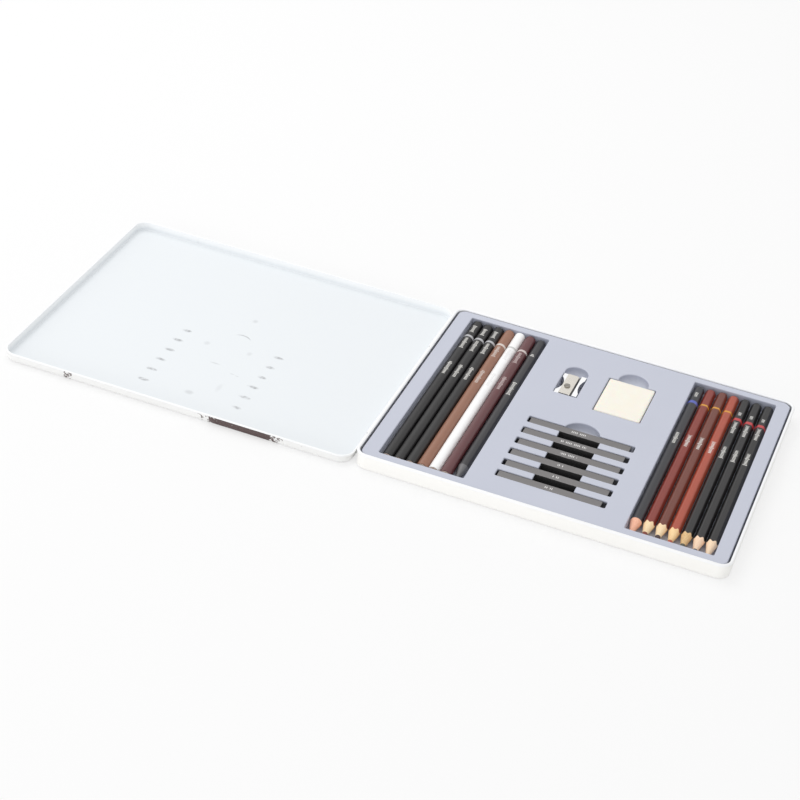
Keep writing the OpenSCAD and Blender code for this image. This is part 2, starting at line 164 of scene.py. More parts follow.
sky = bpy.data.worlds.new("soft studio sky")
bpy.context.scene.world = sky
sky.use_nodes = True
tree = sky.node_tree
seen = add(tree, "ShaderNodeLightPath")
direct = add(
    tree, "ShaderNodeMath",
    [seen.outputs["Is Camera Ray"], seen.outputs["Is Glossy Ray"]], operation="MAXIMUM",
)
direct = add(
    tree, "ShaderNodeMath", [direct, seen.outputs["Is Transmission Ray"]], operation="MAXIMUM"
)
lighting = tree.nodes["Background"]
lighting.inputs["Color"].default_value = (1, 1, 1, 1)
lighting.inputs["Strength"].default_value = 0.77
white = add(tree, "ShaderNodeBackground", {"Color": (1, 1, 1, 1), "Strength": 1.0})
both = add(tree, "ShaderNodeMixShader", [direct, lighting.outputs[0], white])
tree.links.new(both.outputs[0], tree.nodes["World Output"].inputs["Surface"])

for name, place, width, height, watts in (
    ("softbox", (-0.75, 0.35, 1.25), 1.4, 1.0, 6.0),
    ("low front fill", (-0.75, -1.45, 0.35), 1.8, 0.5, 5.5),
):
    lamp_data = bpy.data.lights.new(name, "AREA")
    lamp_data.shape = "RECTANGLE"
    lamp_data.size, lamp_data.size_y = width, height
    lamp_data.energy = watts
    lamp = bpy.data.objects.new(name, lamp_data)
    bpy.context.scene.collection.objects.link(lamp)
    lamp.location = place
    lamp.rotation_mode = "QUATERNION"
    lamp.rotation_quaternion = (Vector((-0.1, 0, 0)) - lamp.location).to_track_quat("-Z", "Y")
    print(name, "in watts:", watts)
bpy.context.scene.view_settings.view_transform = "Standard"

# %% [markdown]
# ## Softened copies of pressed and moulded parts
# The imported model's solids are exact, but each comes as loose triangles that shade flat. A copy
# whose doubles are merged can share its normals: faces that meet gently are shaded as one curve,
# and wide flat faces keep their own direction because the normals are weighted by area. The copy
# stands for the solid, which stays hidden for the physics.

# %% Softened copies
def settled(piece):
    """Turns a piece's modifiers into its plain mesh and removes them."""
    bpy.context.view_layer.update()
    depsgraph = bpy.context.evaluated_depsgraph_get()
    mesh = bpy.data.meshes.new_from_object(
        piece.evaluated_get(depsgraph), preserve_all_data_layers=True, depsgraph=depsgraph
    )
    mesh.name = piece.name
    piece.modifiers.clear()
    piece.data = mesh
    return piece


def smooth(piece, crease=32):
    """Shades a piece smooth, except over creases, with normals weighted by area."""
    piece.data.shade_smooth()
    piece.data.set_sharp_from_angle(angle=math.radians(crease))
    weigh = piece.modifiers.new("weighted normals", "WEIGHTED_NORMAL")
    weigh.keep_sharp = True
    weigh.weight = 90
    return settled(piece)


def softened_copy(node, name, edge=0.0):
    """A merged copy of a solid, its edges rounded by edge in metres, shaded smooth."""
    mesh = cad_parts[node].data.copy()
    mesh.name = name
    work = bmesh.new()
    work.from_mesh(mesh)
    bmesh.ops.remove_doubles(work, verts=work.verts, dist=2e-6)
    if edge:
        bmesh.ops.dissolve_limit(
            work, angle_limit=math.radians(1), verts=work.verts, edges=work.edges
        )
    work.to_mesh(mesh)
    work.free()
    mesh.materials.clear()
    piece = bpy.data.objects.new(name, mesh)
    bpy.context.scene.collection.objects.link(piece)
    if edge:
        rounding = piece.modifiers.new("rounded edges", "BEVEL")
        rounding.width = edge
        rounding.segments = 2
        rounding.limit_method = "ANGLE"
        rounding.angle_limit = math.radians(35)
        rounding.use_clamp_overlap = True
        settled(piece)
    return smooth(piece)


def finish_piece(piece, body, slot, nodes, *finishes):
    """Gives a piece its finishes and its body, and hides the solids it stands for. The slot is not used.
    """
    if finishes:
        piece.data.materials.clear()
        for finish in finishes:
            piece.data.materials.append(finish)
    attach(piece, body)
    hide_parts(*nodes)
    print(piece.name, "-", len(piece.data.polygons), "faces on", body)


def uneven_surface(tree, shader, gloss, low, high, height, strength, depth):
    """Lets one value run the roughness from low to high, and another bump the surface."""
    rough = add(tree, "ShaderNodeMapRange", {"Value": gloss, "To Min": low, "To Max": high})
    tree.links.new(rough.outputs[0], shader.inputs["Roughness"])
    bump = add(tree, "ShaderNodeBump", {"Height": height, "Strength": strength, "Distance": depth})
    tree.links.new(bump.outputs[0], shader.inputs["Normal"])


print("softening ready")

# %% [markdown]
# ## Enamel on drawn tinplate
# The tin is pressed from thin tinplate that was roller-coated and baked before it was drawn. Baked
# enamel has a faint orange-peel ripple about a millimetre long, so lamps show in it as soft, wavy
# patches. Its white is not even: the coat is a shade thicker here and thinner there.

# %% Enamel
def enamel(name, shade, thin_shade):
    """Baked enamel: a colour that drifts to a thinner shade, and an orange-peel ripple."""
    finish, tree, shader = new_finish(name, IOR=1.5)
    place = in_mm(tree)
    drift = add(tree, "ShaderNodeTexNoise", {"Vector": place, "Scale": 0.012, "Detail": 3.0})
    coat = add(
        tree, "ShaderNodeMix", [drift.outputs["Fac"], linear(shade), linear(thin_shade)],
        data_type="RGBA",
    )
    tree.links.new(main_output(coat), shader.inputs["Base Color"])
    peel = add(tree, "ShaderNodeTexNoise", {"Vector": place, "Scale": 0.8, "Detail": 2.0})
    drifting, rippled = drift.outputs["Fac"], peel.outputs["Fac"]
    uneven_surface(tree, shader, drifting, 0.3, 0.42, rippled, 0.12, 0.00004)
    return finish, tree, shader, coat, place


cream_enamel = enamel("cream enamel, outside of the tin", "#fdfcfa", "#f9f8f4")[0]
print("made:", cream_enamel.name)

# %% [markdown]
# ## Charcoal marks inside the lid
# The lid's white lacquer is painted a shade greyer on its flat panel than on its upright walls: a
# painted light that keeps the walls as bright as the panel. When the tin is shut, the ends of the six
# drawing sticks touch the panel, so it has two columns of small grey smudges, one for each end of
# each stick, and a few soft rubs and one curved scuff between them. The columns mirror each other, so
# folding the coordinate about the line between them draws both at once, and a remainder along the
# other way repeats each smudge.

# %% Lid lacquer with charcoal marks
# In millimetres: the line between the two columns and their distance from it, the middle of the
# first row and the step between rows, and half a smudge's length and width.
FOLD_X, COLUMN_OFF = -243.5, 33.5
FIRST_ROW, ROW_PITCH = -9.4, 13.35
SMUDGE_LONG, SMUDGE_WIDE = 3.4, 1.5
lid_lacquer, tree, shader, coat, place = enamel(
    "white lacquer, inside of the lid", "#fcfdfe", "#f8fafb"
)
split = add(tree, "ShaderNodeSeparateXYZ", [place])
# The flat panel, up to 1.5 mm above the lid's floor, is painted greyer than the walls; the walls'
# brighter white is painted light.
painted_light_panel_mask = add(
    tree, "ShaderNodeMapRange",
    {"Value": split.outputs["Z"], "From Min": 1.5, "From Max": 4.0, "To Min": 1.0, "To Max": 0.0},
)
coat = add(tree, "ShaderNodeMix", [painted_light_panel_mask, coat, linear("#ecf0f3")], data_type="RGBA")
blur = add(tree, "ShaderNodeTexNoise", {"Vector": place, "Scale": 0.16, "Detail": 4.0})
shake = add(
    tree, "ShaderNodeMapRange", {"Value": blur.outputs["Fac"], "To Min": -3.2, "To Max": 3.2}
)
known = dict(zip("xyz", split.outputs))
known["shake"] = shake
for name, operation, *values in (
    ("fold", "ADD", "x", -FOLD_X), ("fold", "ABSOLUTE", "fold"),
    ("across", "SUBTRACT", "fold", COLUMN_OFF), ("across", "ADD", "across", "shake"),
    ("across", "DIVIDE", "across", SMUDGE_LONG), ("rows", "ADD", "y", -FIRST_ROW),
    ("rows", "DIVIDE", "rows", -ROW_PITCH), ("rows", "ADD", "rows", 0.5),
    ("part", "FRACT", "rows"), ("along", "SUBTRACT", "part", 0.5),
    ("along", "MULTIPLY", "along", ROW_PITCH / SMUDGE_WIDE), ("begun", "GREATER_THAN", "rows", 0.0),
    ("not over", "LESS_THAN", "rows", 6.0), ("across", "MULTIPLY", "across", "across"),
    ("along", "MULTIPLY", "along", "along"), ("away", "ADD", "across", "along"),
):
    known[name] = add(
        tree, "ShaderNodeMath",
        [known.get(v, v) for v in values], operation=operation,
    )
smudge = add(
    tree, "ShaderNodeMapRange",
    {"Value": known["away"], "From Min": 0.0, "From Max": 1.7, "To Min": 1.0, "To Max": 0.0},
    interpolation_type="SMOOTHSTEP",
)
smudge = add(tree, "ShaderNodeMath", [smudge, known["begun"]], operation="MULTIPLY")
smudge = add(tree, "ShaderNodeMath", [smudge, known["not over"]], operation="MULTIPLY")
grit = add(tree, "ShaderNodeTexNoise", {"Vector": place, "Scale": 0.4, "Detail": 3.0})
grit = add(
    tree, "ShaderNodeMapRange",
    {"Value": grit.outputs["Fac"], "From Min": 0.3, "From Max": 0.66, "To Min": 0.15},
)
marks = add(tree, "ShaderNodeMath", [smudge, grit], operation="MULTIPLY")


def rub(x, y, half_x, half_y, strength):
    """A soft spot on the panel, in millimetres."""
    off = add(tree, "ShaderNodeVectorMath", [place, (x, y, 0.0)], operation="SUBTRACT")
    off = add(tree, "ShaderNodeVectorMath", [off, (half_x, half_y, 9.0)], operation="DIVIDE")
    far = add(tree, "ShaderNodeVectorMath", [off], operation="LENGTH")
    return add(
        tree, "ShaderNodeMapRange",
        {"Value": far, "From Min": 0.2, "From Max": 1.0, "To Min": strength, "To Max": 0.0},
        interpolation_type="SMOOTHSTEP",
    )


for spot in (
    (-259.0, -16.5, 3.0, 3.4, 0.22), (-244.0, -36.0, 5.0, 1.1, 0.3), (-228.8, -42.2, 2.2, 0.8, 0.3),
    (-225.0, -43.0, 2.0, 0.7, 0.3), (-244.3, -75.2, 4.2, 3.2, 0.34), (-241.8, 24.7, 2.6, 3.0, 0.28),
    (-228.7, -14.5, 2.4, 3.4, 0.2), (-229.5, -61.0, 2.4, 7.0, 0.14), (-320.5, 100.0, 3.0, 0.8, 0.5),
):
    marks = add(tree, "ShaderNodeMath", [marks, rub(*spot)], operation="MAXIMUM")
bow = add(tree, "ShaderNodeVectorMath", [place, (-241.5, -4.4, 0.0)], operation="DISTANCE")
bow = add(tree, "ShaderNodeMath", [bow.outputs["Value"], 8.6, 0.55], operation="COMPARE")
bow = add(tree, "ShaderNodeMath", [bow, rub(-240.0, 3.5, 7.5, 6.0, 0.62)], operation="MULTIPLY")
marks = add(tree, "ShaderNodeMath", [marks, bow], operation="MAXIMUM")
marks = add(tree, "ShaderNodeMath", [marks, 0.75], operation="MULTIPLY")
marked = add(tree, "ShaderNodeMix", [marks, coat, linear("#88888b")], data_type="RGBA")
tree.links.new(main_output(marked), shader.inputs["Base Color"])
print("made:", lid_lacquer.name)

# %% [markdown]
# ## The lid's printed outside
# The lid's outside is printed with broad hatched strokes, such as a charcoal stick leaves, in dark
# brown on white, and they run down over the lid's edge. They are noise that is stretched along
# the stroke and cut off by a threshold, over a field that fades out at its sides, and a short
# stroke stands apart from it.

# %% Printed cover
cover_print, tree, shader, coat, place = enamel(
    "white enamel with a printed charcoal field", "#f6f6f5", "#efefee"
)
strokes = add(
    tree, "ShaderNodeMapping",
    {"Vector": place, "Rotation": (0.0, 0.0, math.radians(24)), "Scale": (0.42, 0.018, 0.42)},
)
hatch = add(
    tree, "ShaderNodeTexNoise", {"Vector": strokes, "Scale": 1.0, "Detail": 5.0, "Roughness": 0.62}
)
split = add(tree, "ShaderNodeSeparateXYZ", [place])
off = add(tree, "ShaderNodeMath", [split.outputs["X"], 196.5], operation="ADD")
off = add(tree, "ShaderNodeMath", [off], operation="ABSOLUTE")
field = add(
    tree, "ShaderNodeMapRange",
    {"Value": off, "From Min": 15.0, "From Max": 36.0, "To Min": 0.24, "To Max": -0.2},
)
apart = add(tree, "ShaderNodeMath", [split.outputs["X"], -319.0, 3.0], operation="COMPARE")
apart = add(tree, "ShaderNodeMath", [apart, 0.28, -0.22], operation="MULTIPLY_ADD")
field = add(tree, "ShaderNodeMath", [field, apart], operation="MAXIMUM")
inked = add(tree, "ShaderNodeMath", [hatch.outputs["Fac"], field], operation="ADD")
inked = add(
    tree, "ShaderNodeMapRange", {"Value": inked, "From Min": 0.5, "From Max": 0.6},
    interpolation_type="SMOOTHSTEP",
)
printed = add(
    tree, "ShaderNodeMix", [inked, coat, linear("#5a4a49")],
    data_type="RGBA",
)
tree.links.new(main_output(printed), shader.inputs["Base Color"])
print("made:", cover_print.name)

# %% [markdown]
# ## The base, the lid and their two coats
# Each pan is one sheet with one coat inside and another outside. Every face is sorted by the way
# it looks: a face that looks away from the pan's middle, or down, is outside. The rolled rim is the
# exception: the sheet curls over there, so the whiter inside coat turns out over the edge, and that
# whiter band is partly a painted highlight along the rim.

# %% Base and lid
# How far below the pan's top the whiter inside coat reaches on the rim, in metres: partly the curled
# sheet, partly a painted highlight.
RIM_WITH_PAINTED_HIGHLIGHT = 0.0018


def coat_both_sides(piece, middle, half):
    """Puts the second finish on the faces that look out of a pan, and the first on the others."""
    for face in piece.data.polygons:
        offset = face.center - middle
        gap_x, gap_y = half.x - abs(offset.x), half.y - abs(offset.y)
        # The rim takes the whiter inside coat: partly the curled sheet, partly a painted highlight along
        # the rim.
        if half.z - offset.z < RIM_WITH_PAINTED_HIGHLIGHT:
            face.material_index = 0
            continue
        outward = Vector((math.copysign(1, offset.x), 0, -1)) if gap_x < gap_y else Vector(
            (0, math.copysign(1, offset.y), -1)
        )
        if min(gap_x, gap_y) < 0.009:
            face.material_index = 1 if face.normal.dot(outward) > 0.05 else 0
        else:
            face.material_index = 1 if face.normal.z < 0 else 0


def pan_middle(node):
    """The middle and the half size of a pan, in metres."""
    low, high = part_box(node)
    return (low + high) / 2, (high - low) / 2


base_lacquer = enamel("white lacquer, inside of the base", "#fdfdfe", "#f8f9fa")[0]
lid = softened_copy("tin_lid", "tin_lid_enamelled")
finish_piece(lid, "lid", "tin_inside", ["tin_lid"], lid_lacquer, cover_print)
coat_both_sides(lid, *pan_middle("tin_lid"))
base = softened_copy("tin_base", "tin_base_enamelled")
finish_piece(base, "base", "tin_outside", ["tin_base"], base_lacquer, cream_enamel)
coat_both_sides(base, *pan_middle("tin_base"))

# %% [markdown]
# ## Hinge wires
# Two lengths of zinc-plated steel wire. Drawn wire keeps fine lines along its length, which spread
# a highlight across them.

# %% Hinge wires
zinc_wire, tree, shader = new_finish("zinc-plated steel wire, drawn", Metallic=1.0)
place = in_mm(tree)
drawn = add(tree, "ShaderNodeMapping", {"Vector": place, "Scale": (14.0, 0.25, 14.0)})
lines = add(tree, "ShaderNodeTexNoise", {"Vector": drawn, "Scale": 1.0, "Detail": 2.0})
metal = add(
    tree, "ShaderNodeMix",
    [lines.outputs["Fac"], linear("#b4b6b9"), linear("#cfd0d1")], data_type="RGBA",
)
tree.links.new(main_output(metal), shader.inputs["Base Color"])
rough = add(
    tree, "ShaderNodeMapRange", {"Value": lines.outputs["Fac"], "To Min": 0.28, "To Max": 0.45}
)
tree.links.new(rough.outputs[0], shader.inputs["Roughness"])
finish_piece(softened_copy("hinge_pins", "hinge_wires"), "base", "wire", ["hinge_pins"], zinc_wire)

# %% [markdown]
# ## The formed tray
# The tray is thin polystyrene sheet that was drawn by vacuum into a mould. The sheet copies the
# mould's fine sandblasted grain, a fifth of a millimetre across, so it is matte. Its steep walls
# are painted darker than its flat faces, a painted shade. The bottoms of the sticks' slots are
# painted nearly black, darker the deeper they lie: partly charcoal dust, partly painted shade.

# %% Tray
tray_sheet, tree, shader = new_finish("matte vacuum-formed polystyrene, grey-lavender", IOR=1.59)
place = in_mm(tree)
drift = add(tree, "ShaderNodeTexNoise", {"Vector": place, "Scale": 0.02, "Detail": 3.0})
grain = add(tree, "ShaderNodeTexNoise", {"Vector": place, "Scale": 3.2, "Detail": 2.0})
tone = add(
    tree, "ShaderNodeMix",
    [drift.outputs["Fac"], linear("#c2c6d4"), linear("#c8cbd8")], data_type="RGBA",
)
# Faces that stand steeply are painted darker, towards #aeb2c1: a painted shade on the walls.
facing = add(tree, "ShaderNodeNewGeometry").outputs["Normal"]
painted_wall_shade = add(
    tree, "ShaderNodeMapRange",
    {"Value": add(tree, "ShaderNodeSeparateXYZ", [facing]).outputs["Z"], "From Min": 0.1,
     "From Max": 0.8, "To Min": 1.0, "To Max": 0.0},
)
tone = add(tree, "ShaderNodeMix", [painted_wall_shade, tone, linear("#aeb2c1")], data_type="RGBA")
# In the sticks' slots, below 9 mm, the sheet is painted towards near-black, more the deeper it lies:
# partly charcoal dust, partly painted shade.
known = dict(zip("xyz", add(tree, "ShaderNodeSeparateXYZ", [place]).outputs))
known["speck"] = add(tree, "ShaderNodeTexNoise", {"Vector": place, "Scale": 0.5, "Detail": 3.0})
for name, operation, *values in (
    ("beside", "COMPARE", "x", 0.6, 46.0), ("near", "COMPARE", "y", -40.4, 36.6),
    ("depth", "SUBTRACT", 9.0, "z"), ("depth", "ADD", "depth", "speck"),
    ("deep", "MINIMUM", "depth", 0.9), ("deep", "MAXIMUM", "deep", 0.0),
    ("dust", "MULTIPLY", "beside", "near"), ("dust", "MULTIPLY", "dust", "deep"),
):
    known[name] = add(
        tree, "ShaderNodeMath",
        [known.get(v, v) for v in values], operation=operation,
    )
tone = add(tree, "ShaderNodeMix", [known["dust"], tone, linear("#1f1e21")], data_type="RGBA")
tree.links.new(main_output(tone), shader.inputs["Base Color"])
blasted = grain.outputs["Fac"]
uneven_surface(tree, shader, blasted, 0.5, 0.7, blasted, 0.25, 0.00005)
finish_piece(softened_copy("insert_tray", "formed_tray"), "tray", "tray", ["insert_tray"], tray_sheet)

# %% [markdown]
# ## A pencil as a rule
# All fourteen pencils follow one rule. A turned profile, a list of radii along the pencil, is spun
# round; where the barrel has six sides, no point may stand outside the hexagon; and on the
# sharpened cone a point's place follows from its radius. That last step draws the scalloped edge
# between paint and wood by itself, just as a sharpener does, because the cone reaches the flats
# before it reaches the corners. A rule like this suits Geometry Nodes: a grid is rolled into the
# pencil, with its rows along the profile and its columns round it.

# %% The pencil tree
COLUMNS = 60


def pencil_tree():
    tree = bpy.data.node_groups.new("turned and cut pencil", "GeometryNodeTree")
    face = tree.interface
    for label, kind in (
        ("Profile", "NodeSocketObject"), ("Rows", "NodeSocketInt"), ("Length", "NodeSocketFloat"),
        ("Flat Radius", "NodeSocketFloat"), ("Corner Radius", "NodeSocketFloat"),
        ("Tip Radius", "NodeSocketFloat"), ("Cone Slope", "NodeSocketFloat"),
        ("Place", "NodeSocketVector"), ("Paint", "NodeSocketMaterial"),
        ("Wood", "NodeSocketMaterial"),
    ):
        face.new_socket(label, in_out="INPUT", socket_type=kind)
    face.new_socket("Pencil", in_out="OUTPUT", socket_type="NodeSocketGeometry")
    given = add(tree, "NodeGroupInput").outputs
    known = {socket.name: socket for socket in given}

    # Which row and which column of the grid a point belongs to.
    grid = add(
        tree, "GeometryNodeMeshGrid",
        {"Size X": 1.0, "Size Y": 1.0, "Vertices X": given["Rows"], "Vertices Y": COLUMNS + 1},
    )
    known["number"] = add(tree, "GeometryNodeInputIndex")
    for name, operation, *values in (
        ("rows before", "DIVIDE", "number", COLUMNS + 1.0), ("row", "FLOOR", "rows before"),
        ("row start", "MULTIPLY", "row", COLUMNS + 1.0), ("column", "SUBTRACT", "number", "row start"),
    ):
        known[name] = add(
            tree, "ShaderNodeMath", [known.get(v, v) for v in values], operation=operation
        )

    drawn = add(tree, "GeometryNodeObjectInfo", {"Object": given["Profile"]})
    where = add(tree, "GeometryNodeInputPosition")
    point = add(
        tree, "GeometryNodeSampleIndex",
        {"Geometry": drawn.outputs["Geometry"], "Value": where, "Index": known["row"]},
        data_type="FLOAT_VECTOR", domain="POINT",
    )
    split = add(tree, "ShaderNodeSeparateXYZ", [point]).outputs
    known.update(zip(("radius", "along", "kind"), split))

    # The columns crowd towards the six corners, so that each corner is rounded. Then come the
    # radius that the hexagon allows, the place along the pencil, and the point itself.
    for name, operation, *values in (
        ("turn", "DIVIDE", "column", COLUMNS / 6), ("side", "FLOOR", "turn"),
        ("part", "FRACT", "turn"), ("across", "MULTIPLY_ADD", "part", 2.0, -1.0),
        ("off middle", "ABSOLUTE", "across"), ("to corner", "SUBTRACT", 1.0, "off middle"),
        ("crowd", "MULTIPLY", "to corner", "to corner"), ("bent", "SUBTRACT", 1.0, "crowd"),
        ("hand", "SIGN", "across"), ("bent to hand", "MULTIPLY", "bent", "hand"),
        ("lean", "MULTIPLY", "bent to hand", math.radians(30)),
        ("angle", "MULTIPLY_ADD", "side", math.radians(60), "lean"),
        ("angle", "ADD", "angle", math.radians(30)),
        ("lean cosine", "COSINE", "lean"), ("flat", "DIVIDE", "Flat Radius", "lean cosine"),
        ("hexagon", "MINIMUM", "flat", "Corner Radius"), ("reach", "MINIMUM", "radius", "hexagon"),
        ("past tip", "SUBTRACT", "reach", "Tip Radius"), ("cone", "DIVIDE", "past tip", "Cone Slope"),
        ("on cone", "GREATER_THAN", "kind", 1.5), ("further", "SUBTRACT", "cone", "along"),
        ("place", "MULTIPLY_ADD", "on cone", "further", "along"),
        ("cosine", "COSINE", "angle"), ("sine", "SINE", "angle"),
        ("x", "MULTIPLY", "reach", "cosine"), ("z", "MULTIPLY", "reach", "sine"),
        ("from_end", "SUBTRACT", "Length", "place"), ("off top", "SUBTRACT", "angle", math.radians(90)),
        ("from_top", "MULTIPLY", "off top", "hexagon"), ("cut", "MINIMUM", "kind", 1.0),
    ):
        known[name] = add(
            tree, "ShaderNodeMath", [known.get(v, v) for v in values], operation=operation
        )
    rolled = add(tree, "ShaderNodeCombineXYZ", [known["x"], known["place"], known["z"]])
    shape = add(
        tree, "GeometryNodeSetPosition", {"Geometry": grid.outputs["Mesh"], "Position": rolled}
    )

    # What the finish needs to know: how far a point is from the dipped end and from the top line,
    # and whether the knife has bared it.
    for label in ("from_end", "from_top", "cut"):
        shape = add(
            tree, "GeometryNodeStoreNamedAttribute",
            {"Geometry": shape, "Name": label, "Value": known[label]}, data_type="FLOAT", domain="POINT",
        )
    closed = add(tree, "GeometryNodeMergeByDistance", {"Geometry": shape, "Distance": 0.000008})
    moved = add(tree, "GeometryNodeTransform", {"Geometry": closed, "Translation": given["Place"]})
    real = add(tree, "GeometryNodeRealizeInstances", {"Geometry": moved})
    painted = add(tree, "GeometryNodeSetMaterial", {"Geometry": real, "Material": given["Paint"]})
    cut = add(tree, "GeometryNodeInputNamedAttribute", {"Name": "cut"}, data_type="FLOAT")
    bare = add(tree, "ShaderNodeMath", [cut, 0.9], operation="GREATER_THAN")
    wooden = add(
        tree, "GeometryNodeSetMaterial",
        {"Geometry": painted, "Selection": bare, "Material": given["Wood"]},
    )
    add(tree, "NodeGroupOutput", {"Pencil": wooden})
    return tree


pencil = pencil_tree()
print("pencil tree:", len(pencil.nodes), "nodes")

# %% [markdown]
# ## Profiles
# A profile is a short list of points: the radius, the distance from the tip, and what the surface
# is there, 0 for paint, 1 for bare wood, or 2 for bare wood whose place follows from the cone. It
# starts at the bottom of the bore for the lead, comes out at the point, runs along the barrel and
# closes over the dipped end.

# %% Profiles
MM = 0.001
LENGTH, DIP, TIP, CONE = 178.0, 1.3, 0.7, 13.8


def dipped_end(radius):
    """The rounded end of a barrel, which a dip in thick paint leaves."""
    arc = [math.radians(15 * k) for k in range(7)]
    return [(radius - DIP + DIP * math.cos(a), LENGTH - DIP + DIP * math.sin(a), 0) for a in arc]


def sharpened_profile(bore, flat, corner):
    slope = (flat - TIP) / CONE
    radii = [bore + (flat - bore) * k / 4 for k in range(5)]
    if corner > flat:
        radii += [flat + (corner - flat) * k / 3 for k in (1, 2, 3)]
    shoulder = (corner - TIP) / slope + 0.4
    barrel = [(corner, shoulder, 0), (corner, 60.0, 0), (corner, 120.0, 0)]
    start = [(0.0, LENGTH - DIP, 0), (bore, LENGTH - DIP, 0)] if bore else []
    return start + [(r, 0.0, 2) for r in radii] + barrel + dipped_end(corner) + [(0.0, LENGTH, 0)]


def unsharpened_profile(bore, radius):
    start = [(0.0, LENGTH - DIP, 0), (bore, LENGTH - DIP, 0), (bore, 0.0, 1)]
    front = [(radius - 0.35, 0.0, 1), (radius - 0.12, 0.04, 0), (radius, 0.2, 0)]
    barrel = [(radius, 60.0, 0), (radius, 120.0, 0)]
    return start + front + barrel + dipped_end(radius) + [(0.0, LENGTH, 0)]


def lead_profile(radius, flat):
    """A core: pointed by the same cone as its wood, or plain where flat is None."""
    if flat is None:
        front = [(0.0, 0.05, 0), (radius - 0.1, 0.05, 0), (radius, 0.15, 0)]
        return front + [(radius, LENGTH - DIP - 0.1, 0), (0.0, LENGTH - DIP - 0.1, 0)]
    slope = (flat - TIP) / CONE
    worn = [(0.0, 0.02, 0), (0.6 * TIP, 0.04, 0), (TIP, 0.3, 0)]
    cone = [(r, (r - TIP) / slope, 0) for r in (TIP + 0.15, 0.5 * radius, radius)]
    return worn + cone + [(radius, LENGTH - DIP - 0.1, 0), (0.0, LENGTH - DIP - 0.1, 0)]


def rolled_pencil(name, profile, place, paint, wood, flat, corner):
    """Runs the pencil tree for one profile and returns a plain mesh piece. Sizes in millimetres."""
    points = [(r * MM, y * MM, kind) for r, y, kind in profile]
    drawing_mesh = bpy.data.meshes.new("profile")
    drawing_mesh.from_pydata(points, [(i, i + 1) for i in range(len(points) - 1)], [])
    drawing = bpy.data.objects.new("profile", drawing_mesh)
    bpy.context.scene.collection.objects.link(drawing)
    piece = bpy.data.objects.new(name, bpy.data.meshes.new(name))
    bpy.context.scene.collection.objects.link(piece)
    roll = piece.modifiers.new("pencil", "NODES")
    roll.node_group = pencil
    sizes = {
        "Profile": drawing, "Rows": len(points), "Length": LENGTH * MM,
        "Flat Radius": flat * MM, "Corner Radius": corner * MM, "Tip Radius": TIP * MM,
        "Cone Slope": (min(flat, corner) - TIP) / CONE, "Place": [v * MM for v in place],
        "Paint": paint, "Wood": wood,
    }
    for socket in pencil.interface.items_tree:
        if socket.in_out == "INPUT":
            roll[socket.identifier] = sizes[socket.name]
    settled(piece)
    bpy.data.objects.remove(drawing)
    return smooth(piece, 28)


print("a sharpened profile has", len(sharpened_profile(1.12, 3.4, 3.66)), "points")

# %% [markdown]
# ## Pencil paint
# A pencil gets four to eight thin coats of lacquer, so its paint is smooth but never quite flat.
# It carries a painted ring near the dipped end, and a foil stamp leaves a plain scale of fine ticks
# on it, as on a ruler. Ring and ticks are placed by the distance from the dipped end, which the
# pencil tree stored on the mesh, so they stay in place however far a pencil has slid.

# %% Pencil paint
TICK_PITCH = 1.5


def pencil_paint(
    name, paint, ring=None, ring_at=21.5, ring_wide=2.3, stamps=(), foil="#e9e7e2", gloss=0.36
):
    """Lacquer with a painted ring, and stamped ticks over the given stretches, in millimetres."""
    finish, tree, shader = new_finish(name, IOR=1.5)
    place = in_mm(tree)
    end = add(tree, "ShaderNodeAttribute", attribute_name="from_end").outputs["Fac"]
    end = add(tree, "ShaderNodeMath", [end, 1000.0], operation="MULTIPLY")
    side = add(tree, "ShaderNodeAttribute", attribute_name="from_top").outputs["Fac"]
    side = add(tree, "ShaderNodeMath", [side, 1000.0], operation="MULTIPLY")
    side = add(tree, "ShaderNodeMath", [side], operation="ABSOLUTE")
    drift = add(tree, "ShaderNodeTexNoise", {"Vector": place, "Scale": 0.09, "Detail": 3.0})
    tone = add(tree, "ShaderNodeHueSaturation", {"Color": linear(paint), "Saturation": 1.0})
    lift = add(
        tree, "ShaderNodeMapRange", {"Value": drift.outputs["Fac"], "To Min": 0.9, "To Max": 1.1}
    )
    tree.links.new(lift.outputs[0], tone.inputs["Value"])
    colour = tone.outputs[0]
    if ring:
        inside = add(tree, "ShaderNodeMath", [end, ring_at, ring_wide / 2], operation="COMPARE")
        ringed = add(tree, "ShaderNodeMix", [inside, colour, linear(ring)], data_type="RGBA")
        colour = main_output(ringed)
    if stamps:
        known = {"end": end, "side": side, "stretch": 0.0}
        for start, stop in stamps:
            middle, half = (start + stop) / 2, (stop - start) / 2
            one = add(tree, "ShaderNodeMath", [end, middle, half], operation="COMPARE")
            both = [known["stretch"], one]
            known["stretch"] = add(tree, "ShaderNodeMath", both, operation="MAXIMUM")
        for label, operation, *values in (
            ("beat", "DIVIDE", "end", TICK_PITCH), ("part", "FRACT", "beat"),
            ("stroke", "LESS_THAN", "part", 0.55), ("fifth", "DIVIDE", "beat", 5.0),
            ("fifth", "FRACT", "fifth"), ("long", "LESS_THAN", "fifth", 0.2),
            ("height", "MULTIPLY_ADD", "long", 0.5, 1.0), ("low", "LESS_THAN", "side", "height"),
            ("ticks", "MULTIPLY", "stroke", "low"), ("ticks", "MULTIPLY", "ticks", "stretch"),
            ("ticks", "MULTIPLY", "ticks", 0.92),
        ):
            values = [known.get(v, v) for v in values]
            known[label] = add(tree, "ShaderNodeMath", values, operation=operation)
        stamped = add(
            tree, "ShaderNodeMix", [known["ticks"], colour, linear(foil)], data_type="RGBA"
        )
        colour = main_output(stamped)
    tree.links.new(colour, shader.inputs["Base Color"])
    runs = add(tree, "ShaderNodeMapping", {"Vector": place, "Scale": (0.9, 0.08, 0.9)})
    ripple = add(tree, "ShaderNodeTexNoise", {"Vector": runs, "Scale": 1.0, "Detail": 2.0})
    rippled = ripple.outputs["Fac"]
    drifting = drift.outputs["Fac"]
    uneven_surface(tree, shader, drifting, gloss - 0.06, gloss + 0.08, rippled, 0.2, 0.00005)
    return finish


